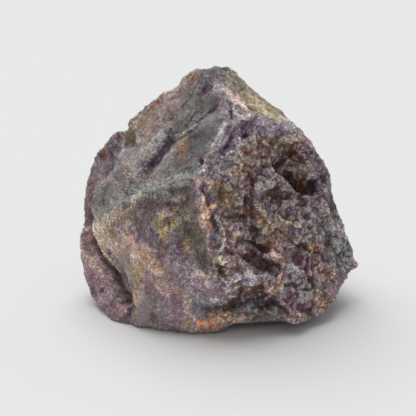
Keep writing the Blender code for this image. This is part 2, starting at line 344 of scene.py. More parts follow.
# Relief: broken grain everywhere it isn't satin, then the cracks, ledges and holes that stand out
relief = {
    # (grain size, height, seed) in mm; the coarse ones end with the depth of the cracks between them
    "coarse": [(3.4, 0.36, 3, 0.36), (1.7, 0.32, 5, 0.26)],
    "fine": [(0.85, 0.24, 7)],
    "calm": [(4.6, 0.30, 9), (2.1, 0.16, 12), (1.0, 0.12, 10)],
    # (reach, depth, line)
    "grooves": [
        # upper left slope
        (0.28, 0.32, [(218, 104), (213, 110), (206, 116), (197, 123)]),  # crack over the flake
        (0.20, 0.18, [(205, 119), (200, 124), (191, 131), (180, 137)]),
        (1.00, 0.35, [(209, 88), (203, 94)]),  # violet dent under the crest
        (1.10, 0.60, [(170, 143), (161, 156), (153, 165)]),  # violet trough
        (0.50, 0.60, [(201, 160), (203, 161)]),  # pit beside the vein
        (0.40, 0.50, [(128, 126), (134, 118), (141, 110)]),  # behind the upper left edge
        (0.50, 0.60, [(119, 136), (118, 148), (116, 158)]),  # right of the left lobe
        (0.80, 0.40, [(110, 156), (112, 168)]),
        # left foot
        (0.30, 0.40, [(91, 196), (90, 212), (91, 228)]),
        # under the tongue
        (0.35, 0.45, [(90, 238), (97, 248), (105, 260), (114, 271), (122, 285), (128, 297)]),
        (0.60, 0.40, [(131, 298), (124, 300)]),
        (0.40, 0.40, [(134, 305), (128, 313), (120, 322)]),  # crease of the foot
        (0.40, 0.35, [(98, 292), (102, 290)]),
        (0.80, 0.25, [(142, 256), (152, 263), (162, 268)]),  # right of the tongue
        (0.30, 0.20, [(146, 288), (150, 300), (156, 318)]),
        # under the brow
        (0.45, 0.30, [(150, 203), (164, 206), (178, 204)]),
        (0.30, 0.20, [(166, 246), (160, 256), (152, 258)]),
        (0.25, 0.25, [(168, 222), (171, 240), (174, 262)]),  # seam
        # front ridge
        (0.30, 0.50, [(200, 189), (206, 196), (210, 204)]),
        (0.45, 0.45, [(213, 216), (214, 226), (216, 231)]),
        (0.55, 0.30, [(212, 244), (217, 246)]),
        # vein and crest band
        (0.50, 0.25, [(239, 127), (232, 137), (223, 149)]),
        (0.25, 0.30, [(228, 101), (231, 107)]),
        (0.35, 0.50, [(231, 111), (232, 118)]),
        # right face
        (0.60, 0.80, [(247, 132), (248, 137)]),  # hole under the rim
        (0.45, 0.40, [(264, 166), (276, 166), (284, 160)]),
        (0.50, 0.40, [(290, 154), (296, 162), (306, 166)]),
        (1.00, 0.80, [(286, 174), (290, 184), (300, 188), (311, 190)]),  # brown hollow
        (1.00, 0.50, [(316, 186), (324, 180)]),
        (0.45, 0.55, [(252, 178), (253, 196), (253, 212)]),  # upright slot
        (0.80, 0.70, [(247, 203), (248, 210)]),
        (0.45, 0.40, [(232, 213), (242, 215), (254, 217)]),
        (0.50, 0.50, [(254, 226), (256, 238)]),
        (0.40, 0.40, [(230, 184), (236, 190)]),
        (0.45, 0.40, [(290, 206), (288, 214)]),
        (0.50, 0.40, [(270, 194), (286, 198), (302, 194)]),
        (0.70, 0.80, [(240, 243), (252, 245), (266, 249)]),  # dark ledge
        (1.10, 0.38, [(249, 258), (260, 262), (270, 266), (272, 275)]),  # dark vug
        (0.50, 0.70, [(229, 251), (234, 252)]),
        (0.70, 0.80, [(300, 248), (308, 247)]),  # right hole
        (0.30, 0.45, [(307, 256), (307, 274)]),  # ribs
        (0.30, 0.45, [(312, 256), (313, 270)]),
        (0.50, 0.60, [(309, 278), (313, 286), (316, 293)]),
        (0.60, 0.60, [(216, 263), (221, 272)]),  # under the lens
        (0.40, 0.40, [(286, 286), (300, 285)]),
        (1.30, 0.65, [(232, 307), (246, 298), (256, 298), (266, 306)]),  # low vug
        (0.50, 0.80, [(270, 303), (279, 306), (287, 314)]),
        (0.60, 0.40, [(206, 310), (218, 309), (226, 309)]),
    ],
    "ridges": [
        (0.70, 0.25, [(238, 130), (232, 142), (226, 152)]),  # vein
        (0.70, 0.30, [(218, 222), (220, 236), (218, 250)]),  # lens
        (0.90, 0.40, [(238, 196), (240, 204)]),
        (1.00, 0.50, [(234, 226), (246, 232)]),  # pink blocks
        (0.80, 0.60, [(240, 251), (246, 252)]),
        (0.60, 0.60, [(271, 253), (275, 255)]),
        (0.70, 0.50, [(214, 300), (228, 290), (246, 283), (262, 284)]),
        (0.40, 0.45, [(309, 256), (310, 276)]),
        (0.60, 0.40, [(330, 230), (340, 230), (346, 238)]),
        (2.40, 0.30, [(212, 122), (200, 140), (188, 160)]),  # satin slope
        (0.90, 0.50, [(349, 261), (355, 265)]),  # right tip
        (0.60, 0.40, [(206, 322), (226, 319), (250, 317)]),
    ],
    # (reach, drop, line); the left of a line drawn downwards drops
    "ledges": [
        # tongue
        (3.0, 0.85, [(92, 226), (93, 236), (100, 246), (108, 258), (117, 270), (125, 284), (132, 296)]),
        (2.0, 0.20, [(176, 137), (191, 130), (204, 120), (209, 112), (217, 102)]),  # flake
        (1.5, 0.30, [(226, 124), (215, 140), (207, 154), (200, 172)]),  # vein
        (1.5, 0.50, [(222, 251), (225, 240), (224, 228), (219, 217), (212, 210)]),  # lens
        (1.2, 0.30, [(206, 226), (207, 244), (206, 258)]),
        (1.8, 0.50, [(244, 121), (262, 126), (290, 131)]),  # rim
        (1.2, 0.50, [(238, 243), (250, 243), (264, 247)]),  # dark ledge
        (2.2, 0.50, [(124, 204), (142, 193), (162, 187), (184, 187)]),  # brow
    ],
}


def besideBase(outward):  # 0 on the underside, which stays as it is
    return 1.0 - smoothStep(-outward[:, 2] * 4.0 - 2.6)


def sculpt(skin, samples, grainy, satin):
    mesh = skin.data
    at, outward = readPoints(mesh), readNormals(mesh)
    height = np.zeros(len(at))
    for size, tall, seed, crack in relief["coarse"]:
        grain, gap, own = brokenGrain(samples, size, seed)
        opening = smoothStep(1.0 - gap * 5.0) * smoothStep(own[:, 2] * 2.0)
        height += (grain * tall - opening * crack) * grainy
    for size, tall, seed in relief["calm"]:
        height += brokenGrain(samples, size, seed)[0] * tall * (1.0 - grainy) * (1.0 - 0.75 * satin)
    for reach, depth, line in relief["grooves"]:
        height -= depth * strokeShape(reach, line)
    for reach, tall, line in relief["ridges"]:
        height += tall * strokeShape(reach, line)
    for reach, drop, line in relief["ledges"]:
        height -= drop * ledgeShape(reach, line)
    at += outward * (height * besideBase(outward))[:, None]
    writePoints(mesh, at)
    outward = readNormals(mesh)
    finer = np.zeros(len(at))
    for size, tall, seed in relief["fine"]:
        finer += brokenGrain(samples, size, seed)[0] * tall * (0.25 + 0.75 * grainy) * (1.0 - 0.8 * satin)
    at += outward * (finer * besideBase(outward))[:, None]
    at[:, 2] = np.maximum(at[:, 2], 0.0)
    writePoints(mesh, at)


sculpt(skin, points, grainy, satin)
print("relief sculpted")


def hollowness(mesh, rounds):
    # how far each point lies under the skin around it, in mm
    at = readPoints(mesh)
    return np.einsum("ij,ij->i", relaxed(mesh, at, rounds) - at, readNormals(mesh))


hollows = {
    "fineRounds": 4, "broadRounds": 40,  # how far around each point the skin is evened out
    "fine": 1.6, "fineInGrain": 2.6, "broad": 0.6,
    "range": (-0.8, 1.0),  # from edges to pits
}
hollow = hollowness(skin.data, hollows["fineRounds"]) * (hollows["fine"] + hollows["fineInGrain"] * grainy)
hollow += hollowness(skin.data, hollows["broadRounds"]) * hollows["broad"]
hollow = np.clip(hollow, *hollows["range"])


# Colours, as a screen shows them in even light
stoneColours = {
    "slate": (101, 103, 103), "satinGrey": (118, 118, 118), "olive": (112, 104, 92),
    "darkOlive": (92, 86, 78), "mossGrey": (86, 84, 76), "rosyTan": (156, 138, 133),
    "dustyRose": (134, 112, 110), "ochreTan": (150, 130, 104), "brownViolet": (98, 84, 88),
    "darkViolet": (74, 62, 74), "violet": (95, 73, 99), "lilac": (146, 134, 146),
    "dustyLilac": (128, 112, 120), "magenta": (114, 84, 95), "cream": (178, 170, 146),
    "peach": (168, 140, 122), "warmTan": (142, 120, 104), "rust": (144, 104, 84),
    "ochre": (152, 122, 88), "orange": (184, 132, 94), "rose": (122, 100, 104),
    "greyBrown": (118, 106, 106), "palePink": (196, 178, 166), "straw": (166, 157, 134),
    "tan": (126, 110, 98), "brown": (100, 78, 64), "maroon": (84, 65, 68), "ash": (112, 103, 106),
    "mauve": (112, 92, 97), "black": (52, 48, 50), "darkBrown": (60, 44, 38),
    "chalk": (184, 178, 178), "pitGrey": (87, 79, 79), "paleViolet": (114, 96, 116),
}

# for each part of the surface: its tone, and strokes one over the other,
# as (colour, reach in mm, strength, line); a tone under 1 paints the part darker
# where the key light falls on it most, as painted shade that evens out that light
tints = {
    "rightFace": (1.0, [
        ("mauve", 6.0, 1.0, [(250, 170), (300, 200), (330, 240)]),
        ("mauve", 6.0, 1.0, [(235, 260), (290, 270), (335, 280)]),
        ("mauve", 4.0, 1.0, [(230, 300), (290, 305), (318, 300)]),
        ("tan", 3.0, 0.9, [(240, 146), (250, 162), (262, 150)]),
        ("ochreTan", 1.8, 0.7, [(236, 148), (248, 158), (240, 172)]),
        ("brown", 0.9, 0.6, [(252, 146), (258, 158), (254, 168)]),
        ("olive", 1.2, 0.8, [(249, 154), (250, 168)]),
        ("ochre", 0.8, 0.6, [(236, 154), (237, 166)]),
        ("brown", 1.0, 0.7, [(240, 128), (256, 130), (262, 142)]),
        ("brown", 1.0, 0.8, [(262, 142), (276, 146), (290, 148)]),
        ("maroon", 3.4, 1.0, [(284, 144), (302, 150), (314, 162)]),
        ("maroon", 2.0, 0.9, [(268, 158), (290, 162), (306, 168)]),
        ("dustyRose", 1.0, 0.8, [(300, 138), (308, 144)]),
        ("dustyRose", 0.9, 0.8, [(304, 137), (312, 146)]),
        ("darkViolet", 1.2, 0.8, [(312, 150), (318, 162), (322, 170)]),
        ("rust", 0.9, 0.9, [(284, 133), (289, 135)]),
        ("palePink", 0.8, 0.8, [(293, 134), (296, 138)]),
        ("darkBrown", 0.7, 0.8, [(284, 160), (292, 154), (298, 166)]),
        ("greyBrown", 1.2, 0.8, [(300, 172), (314, 170), (318, 176)]),
        ("tan", 0.9, 0.6, [(284, 168), (296, 172)]),
        # brown of the rock, with painted shade in the brown hollow
        ("darkBrown", 1.1, 1.0, [(286, 174), (290, 184), (302, 188), (312, 190)]),
        ("brown", 0.9, 0.9, [(294, 178), (302, 182)]),
        ("darkViolet", 1.3, 1.0, [(314, 187), (320, 181), (326, 180)]),
        ("ash", 1.0, 0.8, [(330, 184), (330, 196)]),
        ("ash", 2.4, 0.8, [(268, 178), (264, 196)]),
        ("maroon", 1.8, 0.9, [(274, 194), (290, 197), (304, 196)]),
        ("ash", 3.2, 0.9, [(292, 212), (315, 220), (335, 232)]),
        ("ash", 1.8, 0.7, [(318, 226), (334, 236), (346, 244)]),
        ("lilac", 0.8, 0.8, [(328, 229), (340, 229), (345, 234)]),
        ("slate", 2.6, 1.0, [(326, 242), (342, 254), (350, 262)]),
        ("peach", 0.8, 0.6, [(258, 204), (264, 212)]),
        ("ochreTan", 1.2, 0.8, [(262, 222), (272, 230)]),
        ("ochreTan", 1.2, 0.8, [(282, 222), (296, 222)]),
        ("tan", 1.6, 0.6, [(264, 236), (286, 238)]),
        ("brown", 2.2, 1.0, [(216, 190), (228, 197), (222, 206)]),
        ("ochreTan", 0.8, 0.4, [(218, 184), (232, 190), (228, 204)]),
        ("greyBrown", 1.0, 0.9, [(236, 194), (240, 206)]),
        ("ochreTan", 0.8, 0.6, [(228, 190), (232, 206)]),
        ("maroon", 0.9, 1.0, [(251, 176), (253, 196), (253, 214)]),
        # painted shade in the middle hole
        ("darkBrown", 0.9, 1.0, [(247, 202), (248, 211)]),
        ("maroon", 0.9, 0.9, [(230, 214), (242, 216), (254, 218)]),
        ("orange", 0.25, 0.6, [(243, 211), (247, 214), (250, 216)]),
        ("brownViolet", 1.8, 1.0, [(234, 224), (246, 228), (248, 236)]),
        ("dustyLilac", 0.8, 0.8, [(236, 221), (246, 224)]),
        ("straw", 0.6, 0.8, [(234, 236), (238, 233)]),
        ("darkBrown", 0.7, 0.9, [(254, 226), (257, 234)]),
        # painted shadow under the dark ledge
        ("black", 0.8, 1.0, [(240, 243), (254, 245), (266, 249)]),
        # painted shade in the dark vug
        ("pitGrey", 1.4, 1.0, [(250, 258), (260, 261), (268, 266), (272, 275)]),
        ("black", 0.6, 0.8, [(262, 262), (270, 268)]),
        ("brown", 0.7, 0.9, [(229, 251), (234, 252)]),
        ("dustyRose", 1.0, 1.0, [(239, 250), (246, 254)]),
        ("palePink", 0.4, 0.8, [(241, 251), (243, 252)]),
        ("peach", 0.7, 0.9, [(270, 252), (275, 256)]),
        ("rust", 0.7, 0.7, [(268, 246), (278, 250), (282, 262)]),
        # painted shade in the right hole
        ("black", 0.9, 1.0, [(300, 248), (309, 247)]),
        ("ochre", 0.6, 0.9, [(312, 246), (318, 247)]),
        ("brown", 0.5, 0.7, [(298, 253), (312, 252), (326, 250)]),
        ("rose", 1.6, 0.7, [(302, 262), (306, 276)]),
        ("rust", 1.0, 0.6, [(318, 268), (328, 274)]),
        ("darkViolet", 0.6, 0.8, [(309, 278), (313, 286), (316, 293)]),
        ("tan", 1.5, 0.8, [(226, 266), (240, 274)]),
        ("darkBrown", 0.8, 0.9, [(216, 264), (221, 274)]),
        ("ash", 1.6, 0.7, [(228, 286), (244, 284)]),
        ("lilac", 1.8, 1.0, [(246, 279), (258, 278), (266, 281)]),
        ("chalk", 0.5, 0.7, [(248, 274), (262, 280)]),
        ("magenta", 0.9, 0.9, [(256, 282), (266, 288), (276, 288)]),
        ("peach", 0.9, 0.7, [(272, 290), (282, 288), (280, 278)]),
        ("rust", 0.5, 0.9, [(240, 294), (250, 289), (259, 291), (269, 301)]),
        ("lilac", 1.2, 0.8, [(290, 268), (296, 278)]),
        ("ash", 1.6, 0.8, [(288, 290), (298, 292), (310, 292)]),
        ("lilac", 1.7, 1.0, [(214, 291), (226, 293)]),
        ("lilac", 1.1, 0.9, [(213, 300), (222, 302), (228, 306)]),
        ("dustyRose", 1.2, 0.7, [(226, 294), (236, 298)]),
        # painted shade in the low vug
        ("black", 1.5, 0.9, [(232, 308), (246, 298), (256, 298), (264, 305)]),
        ("slate", 0.8, 0.7, [(242, 308), (258, 306)]),
        # painted shadow under the ledge right of the low vug
        ("black", 0.5, 1.0, [(270, 303), (279, 306), (287, 314)]),
        ("mossGrey", 1.2, 0.9, [(256, 314), (272, 314), (280, 316)]),
        ("magenta", 0.8, 0.7, [(288, 306), (294, 310)]),
        ("dustyRose", 1.0, 0.8, [(288, 316), (304, 318)]),
        ("ochreTan", 1.2, 0.7, [(318, 296), (322, 306)]),
        ("rose", 0.9, 1.0, [(351, 263), (358, 266)]),
    ]),
    "rightSlope": (0.87, [
        ("straw", 4.0, 0.95, [(228, 74), (250, 96), (285, 122)]),
        ("warmTan", 1.6, 0.5, [(250, 108), (266, 118), (282, 124)]),
        ("darkOlive", 1.1, 0.9, [(216, 70), (230, 77), (242, 86)]),
        ("olive", 1.1, 0.7, [(244, 84), (256, 94), (270, 106)]),
        ("ochre", 0.7, 0.6, [(252, 100), (266, 108), (284, 116)]),
        ("cream", 0.9, 0.7, [(258, 106), (276, 118), (288, 122)]),
        ("palePink", 1.2, 1.0, [(226, 94), (234, 99), (243, 106)]),
        ("cream", 0.9, 0.7, [(222, 84), (230, 88)]),
        ("peach", 0.8, 0.6, [(240, 112), (254, 114)]),
        ("lilac", 1.7, 1.0, [(256, 124), (276, 126), (290, 129)]),
        ("violet", 0.7, 0.9, [(246, 120), (254, 124)]),
    ]),
    "upperLeft": (0.60, [
        ("slate", 5.0, 1.0, [(210, 90), (212, 130), (190, 170)]),
        ("satinGrey", 2.6, 0.6, [(190, 96), (180, 112)]),
        ("olive", 2.4, 0.5, [(192, 90), (182, 106), (174, 124)]),
        ("slate", 1.0, 0.8, [(182, 130), (172, 132)]),
        ("rosyTan", 3.0, 1.0, [(168, 96), (154, 112), (150, 130)]),
        ("violet", 1.4, 0.5, [(152, 116), (160, 124)]),
        ("ochreTan", 1.9, 0.9, [(144, 118), (132, 130), (134, 146)]),
        ("rosyTan", 0.9, 0.6, [(162, 116), (158, 128)]),
        ("rust", 0.8, 0.7, [(162, 97), (152, 106)]),
        ("straw", 0.3, 0.8, [(150, 128), (147, 136)]),
        ("straw", 0.3, 0.8, [(167, 118), (172, 128)]),
        ("rust", 1.1, 0.8, [(198, 74), (188, 80)]),
        ("palePink", 0.7, 0.7, [(184, 82), (178, 88), (166, 91)]),
        ("slate", 0.8, 0.9, [(203, 70), (214, 67), (226, 69)]),
        ("lilac", 0.9, 0.9, [(212, 79), (206, 85)]),
        ("darkViolet", 0.9, 0.9, [(211, 89), (205, 91), (200, 97)]),
        ("mossGrey", 0.8, 0.5, [(196, 108), (184, 122), (176, 132)]),
        ("tan", 0.4, 0.8, [(204, 97), (208, 95)]),
        # painted shade in the crack over the flake
        ("black", 0.35, 0.6, [(217, 105), (213, 110), (206, 116), (197, 123)]),
        # painted highlight along the flake's lit lip
        ("chalk", 0.28, 0.6, [(200, 121), (192, 127), (184, 132), (176, 136)]),
        ("darkViolet", 1.8, 1.0, [(171, 141), (165, 150), (157, 159), (149, 166)]),
        ("violet", 0.7, 0.8, [(168, 146), (160, 154)]),
        ("warmTan", 1.1, 0.8, [(186, 140), (180, 150), (178, 158)]),
        ("ochre", 0.6, 0.8, [(187, 144), (182, 148)]),
        ("brown", 0.3, 0.8, [(190, 143), (196, 140)]),
        ("ochre", 0.6, 0.6, [(162, 172), (160, 180)]),
        ("chalk", 1.4, 0.5, [(156, 139), (145, 151), (139, 162), (130, 174)]),
        ("darkViolet", 0.5, 1.0, [(200, 160), (204, 161)]),
    ]),
    "leftEdge": (0.8, [
        ("satinGrey", 3.0, 1.0, [(124, 150), (110, 180), (98, 205)]),
        ("rosyTan", 1.4, 0.5, [(104, 206), (112, 196), (120, 186)]),
        ("satinGrey", 1.8, 0.8, [(158, 176), (150, 186)]),
        ("tan", 1.6, 0.7, [(130, 158), (126, 176)]),
        ("slate", 1.6, 0.7, [(106, 196), (100, 208)]),
        ("mauve", 1.9, 1.0, [(112, 138), (106, 150), (108, 166)]),
        ("darkViolet", 1.0, 0.8, [(112, 140), (110, 150)]),
        ("brown", 0.8, 0.7, [(104, 150), (103, 160)]),
        ("darkViolet", 0.9, 0.8, [(113, 158), (110, 168)]),
        ("chalk", 0.4, 0.9, [(97, 161), (99, 164)]),
        ("mossGrey", 0.6, 0.8, [(124, 142), (124, 147)]),
        ("lilac", 0.7, 0.8, [(119, 144), (119, 158)]),
        ("rosyTan", 0.9, 0.8, [(110, 181), (116, 186)]),
        ("rose", 1.4, 0.9, [(90, 184), (88, 204), (87, 222)]),
        ("dustyLilac", 0.8, 0.9, [(90, 206), (92, 224)]),
    ]),
    "belowBrow": (1.0, [
        ("darkOlive", 4.2, 1.0, [(150, 215), (185, 215), (190, 250)]),
        ("slate", 1.8, 0.8, [(110, 200), (124, 196), (150, 190), (184, 184)]),
        ("brownViolet", 2.8, 1.0, [(136, 220), (146, 234), (158, 250)]),
        ("darkViolet", 1.1, 0.5, [(130, 224), (142, 238), (154, 252)]),
        ("brownViolet", 1.8, 0.8, [(144, 206), (160, 206), (176, 208)]),
        ("darkBrown", 0.9, 0.4, [(158, 212), (176, 204), (188, 198)]),
        ("ochreTan", 0.9, 0.7, [(161, 219), (163, 232), (163, 246)]),
        ("ochre", 0.7, 0.6, [(160, 220), (163, 229)]),
        ("ochreTan", 0.6, 0.6, [(165, 228), (174, 223), (186, 218)]),
        ("cream", 0.7, 0.8, [(138, 196), (131, 200), (127, 208)]),
        ("ochreTan", 1.1, 0.7, [(111, 217), (120, 214)]),
        ("ochreTan", 0.8, 0.6, [(128, 222), (131, 214)]),
        ("mossGrey", 1.8, 0.7, [(195, 214), (196, 232), (197, 260)]),
        ("violet", 1.6, 0.6, [(174, 242), (182, 254)]),
        ("ochre", 0.35, 0.9, [(172, 222), (168, 231), (164, 238)]),
        ("ochre", 0.35, 0.8, [(158, 214), (165, 217), (174, 212)]),
        ("ochre", 0.4, 0.8, [(188, 238), (186, 246), (190, 252)]),
        ("darkBrown", 0.5, 0.7, [(178, 214), (186, 224), (190, 236)]),
        ("darkViolet", 0.5, 0.7, [(150, 228), (158, 240), (168, 252)]),
        ("darkBrown", 0.5, 0.6, [(166, 204), (172, 209), (182, 208)]),
        ("maroon", 0.9, 0.5, [(180, 260), (188, 268)]),
        ("satinGrey", 0.5, 0.7, [(169, 228), (172, 244), (175, 266)]),
        ("satinGrey", 0.6, 0.6, [(192, 252), (191, 286)]),
    ]),
    "lowerFront": (1.0, [
        ("dustyLilac", 3.8, 1.0, [(156, 276), (170, 303), (190, 322)]),
        ("dustyLilac", 2.8, 0.9, [(178, 274), (190, 284), (198, 294)]),
        ("dustyRose", 1.8, 0.8, [(146, 262), (156, 274), (158, 286)]),
        ("ochreTan", 0.7, 0.7, [(150, 264), (158, 272)]),
        ("peach", 0.9, 0.9, [(160, 286), (165, 294)]),
        ("warmTan", 0.6, 0.7, [(166, 288), (174, 288), (182, 295)]),
        ("lilac", 1.6, 0.4, [(162, 300), (172, 307), (180, 320)]),
        ("magenta", 1.2, 0.5, [(172, 296), (182, 308), (176, 322)]),
        ("brownViolet", 0.9, 0.8, [(150, 286), (156, 296)]),
        ("lilac", 1.3, 0.9, [(195, 276), (206, 284)]),
        ("palePink", 0.4, 0.7, [(193, 276), (200, 272), (208, 276), (207, 284)]),
        ("greyBrown", 2.4, 1.0, [(145, 294), (142, 322)]),
        ("palePink", 0.9, 0.8, [(188, 304), (191, 316)]),
        ("ochreTan", 0.9, 0.8, [(186, 322), (190, 330)]),
        ("rose", 1.4, 0.8, [(156, 330), (178, 332)]),
        ("slate", 1.5, 0.8, [(197, 308), (212, 308), (222, 306)]),
        ("black", 0.7, 0.7, [(202, 308), (214, 311), (228, 310)]),
        ("orange", 1.2, 0.9, [(202, 324), (216, 321)]),
        ("peach", 1.2, 0.9, [(214, 319), (228, 318), (240, 318)]),
    ]),
    "leftFoot": (1.0, [
        ("rose", 5.0, 1.0, [(86, 250), (96, 280), (114, 312)]),
        ("dustyRose", 1.8, 0.8, [(86, 258), (102, 270)]),
        ("warmTan", 1.0, 0.4, [(90, 258), (100, 266)]),
        ("brownViolet", 1.0, 0.8, [(84, 244), (96, 254)]),
        ("dustyRose", 1.0, 0.8, [(80, 238), (82, 246)]),
        ("violet", 1.8, 0.4, [(92, 282), (106, 300)]),
        ("darkViolet", 0.5, 0.7, [(98, 292), (102, 290)]),
        ("magenta", 1.6, 0.8, [(112, 306), (120, 313), (126, 311)]),
        ("brownViolet", 1.8, 0.9, [(100, 310), (112, 318), (128, 320)]),
        # tongue
        ("rosyTan", 3.6, 1.0, [(104, 236), (118, 250), (130, 264)]),
        ("rosyTan", 2.4, 1.0, [(126, 242), (138, 256), (146, 266)]),
        ("cream", 1.7, 0.9, [(98, 226), (101, 234), (107, 242)]),
        ("ochreTan", 1.3, 0.7, [(106, 229), (113, 234)]),
        ("lilac", 1.2, 0.7, [(119, 231), (126, 238)]),
        ("peach", 1.2, 0.8, [(126, 238), (136, 250), (146, 260), (156, 268)]),
        ("ochreTan", 1.2, 0.6, [(112, 250), (121, 254)]),
        ("tan", 1.8, 0.7, [(122, 260), (132, 270)]),
        ("olive", 1.4, 0.7, [(120, 266), (130, 273)]),
        # painted shadow beside the tongue's edge
        ("darkViolet", 0.4, 0.8, [(91, 242), (98, 252), (106, 263), (114, 274)]),
        # painted highlight along the tongue's lit edge
        ("cream", 0.5, 0.8, [(94, 228), (96, 237), (103, 247), (109, 255)]),
        ("straw", 0.35, 0.8, [(109, 256), (119, 269), (126, 281)]),
        ("mossGrey", 0.7, 0.6, [(112, 273), (118, 284)]),
        ("darkViolet", 0.8, 0.7, [(116, 290), (124, 296), (132, 298)]),
        ("mossGrey", 0.7, 0.8, [(124, 290), (131, 283), (134, 292)]),
        ("warmTan", 1.3, 0.9, [(137, 266), (137, 282), (135, 300)]),
        ("ochre", 0.9, 0.9, [(138, 269), (141, 276)]),
        ("ochre", 0.5, 0.7, [(134, 286), (133, 296), (136, 303)]),
        ("darkViolet", 0.7, 0.8, [(134, 302), (130, 312), (124, 320)]),
    ]),
    "veinAndRidge": (1.0, [
        ("lilac", 2.0, 1.0, [(242, 124), (228, 144), (214, 160)]),
        ("paleViolet", 1.5, 1.0, [(238, 124), (230, 140), (220, 152)]),
        ("violet", 0.6, 1.0, [(237, 126), (232, 136), (224, 147)]),
        ("violet", 0.8, 0.8, [(243, 120), (254, 123)]),
        ("lilac", 1.1, 0.9, [(257, 126), (272, 128), (286, 129)]),
        ("chalk", 0.35, 0.7, [(240, 126), (236, 134), (229, 149)]),
        ("chalk", 0.5, 0.5, [(226, 124), (216, 140), (207, 156)]),
        ("palePink", 0.5, 0.6, [(226, 123), (236, 120), (248, 117)]),
        ("rosyTan", 0.8, 0.8, [(215, 147), (208, 151), (205, 164)]),
        ("ash", 2.4, 1.0, [(224, 160), (213, 168), (206, 180)]),
        ("lilac", 0.5, 0.5, [(206, 158), (203, 168), (197, 178)]),
        ("rosyTan", 1.2, 0.9, [(200, 184), (203, 198), (206, 224)]),
        ("ochre", 0.9, 0.7, [(200, 181), (211, 186)]),
        ("dustyLilac", 0.7, 0.9, [(196, 188), (199, 198), (206, 208)]),
        ("violet", 0.7, 0.9, [(201, 186), (206, 194), (209, 202)]),
        ("darkViolet", 0.4, 1.0, [(203, 188), (208, 196), (210, 204), (212, 214)]),
        ("lilac", 0.35, 0.7, [(197, 190), (200, 198), (204, 206)]),
        ("orange", 0.5, 0.8, [(205, 198), (207, 207)]),
        ("orange", 0.9, 0.9, [(205, 207), (207, 215), (210, 225)]),
        ("peach", 0.8, 0.7, [(203, 206), (206, 218), (209, 230)]),
        ("orange", 0.35, 0.9, [(213, 207), (216, 208)]),
        ("brownViolet", 1.1, 1.0, [(217, 220), (219, 236), (219, 252)]),
        ("darkViolet", 0.6, 1.0, [(214, 215), (217, 223), (220, 234)]),
        ("black", 0.35, 1.0, [(215, 221), (218, 230)]),
        ("darkViolet", 1.0, 0.8, [(215, 236), (218, 248)]),
        # painted highlight on the lens's lit rim
        ("chalk", 0.35, 0.7, [(217, 217), (222, 222), (225, 231), (225, 242), (221, 251)]),
        ("lilac", 0.5, 0.6, [(209, 230), (208, 244), (209, 258)]),
        ("straw", 0.6, 0.7, [(214, 258), (222, 259)]),
        # crest band
        ("dustyLilac", 1.2, 0.9, [(214, 86), (221, 94), (227, 106), (229, 117)]),
        ("palePink", 1.1, 0.9, [(231, 94), (237, 99), (243, 105)]),
        ("lilac", 0.6, 0.8, [(233, 109), (238, 116), (246, 117)]),
        ("black", 0.3, 0.9, [(227, 101), (230, 107)]),
        ("black", 0.4, 1.0, [(231, 111), (232, 118)]),
    ]),
}

# how much of an area each kind of fleck covers: (reach in mm, share, line)
flecks = {
    "rustFlecks": [
        (3.0, 0.30, [(150, 208), (185, 212), (192, 240)]),
        (1.2, 0.50, [(166, 228), (178, 220)]),
        (1.4, 0.38, [(194, 208), (196, 236), (192, 258)]),
        (2.4, 0.30, [(130, 140), (145, 120), (160, 100)]),
        (2.4, 0.38, [(250, 96), (272, 110), (286, 120)]),
        (3.5, 0.34, [(238, 145), (248, 160), (262, 140)]),
        (2.4, 0.40, [(222, 186), (228, 200), (226, 230)]),
        (3.5, 0.28, [(262, 222), (290, 226), (300, 240)]),
        (3.0, 0.30, [(272, 140), (296, 156), (306, 176)]),
        (2.0, 0.34, [(300, 252), (322, 252), (330, 272)]),
        (2.0, 0.32, [(140, 256), (156, 270), (176, 290)]),
        (1.6, 0.36, [(240, 290), (262, 292), (284, 282)]),
        (1.0, 0.45, [(204, 184), (206, 216)]),
        (1.4, 0.40, [(184, 144), (178, 156), (166, 172)]),
        (1.6, 0.40, [(196, 322), (232, 318)]),
        (2.0, 0.25, [(108, 236), (128, 262)]),
        (2.0, 0.24, [(312, 298), (322, 308)]),
        (1.2, 0.30, [(276, 252), (284, 268)]),
    ],
    "whiteFlecks": [
        (1.8, 0.66, [(160, 138), (148, 152), (134, 174)]),
        (2.2, 0.54, [(186, 182), (150, 188), (112, 204)]),
        (1.4, 0.48, [(106, 206), (98, 218), (130, 206)]),
        (1.5, 0.55, [(215, 84), (226, 100), (231, 116)]),
        (1.2, 0.40, [(228, 124), (214, 144), (204, 164)]),
        (2.2, 0.40, [(222, 158), (208, 176)]),
        (4.0, 0.36, [(300, 210), (318, 222), (345, 246)]),
        (2.2, 0.36, [(262, 186), (268, 206)]),
        (2.0, 0.48, [(250, 276), (262, 280)]),
        (1.8, 0.50, [(290, 266), (298, 292), (310, 290)]),
        (1.4, 0.40, [(224, 216), (226, 246)]),
        (2.4, 0.32, [(180, 268), (192, 290)]),
        (4.0, 0.30, [(148, 212), (182, 226), (184, 256)]),
        (2.0, 0.36, [(244, 142), (262, 136), (272, 136)]),
        (1.2, 0.35, [(118, 138), (118, 158)]),
        (1.4, 0.30, [(240, 300), (258, 300)]),
        (2.4, 0.26, [(205, 118), (182, 118)]),
        (1.8, 0.30, [(214, 270), (228, 284)]),
        (1.0, 0.40, [(232, 222), (246, 232)]),
    ],
    "violetFlecks": [
        (4.0, 0.25, [(150, 225), (190, 255), (180, 300)]),
        (2.0, 0.40, [(160, 298), (178, 314)]),
        (3.5, 0.30, [(300, 150), (322, 180), (310, 200)]),
        (3.0, 0.35, [(262, 286), (290, 300), (310, 310)]),
        (2.0, 0.30, [(240, 225), (250, 240)]),
        (2.4, 0.30, [(108, 150), (92, 190)]),
        (1.6, 0.45, [(242, 128), (222, 150)]),
        (2.2, 0.30, [(296, 262), (310, 275)]),
    ],
}

# how strongly each kind gathers in hollows, or if negative on edges
followsRelief = {"rustFlecks": 0.35, "whiteFlecks": -0.45, "violetFlecks": 0.15}
fewFlecks, roughFlecks = 0.12, 0.16  # the share that they cover everywhere, and more on rough hidden sides

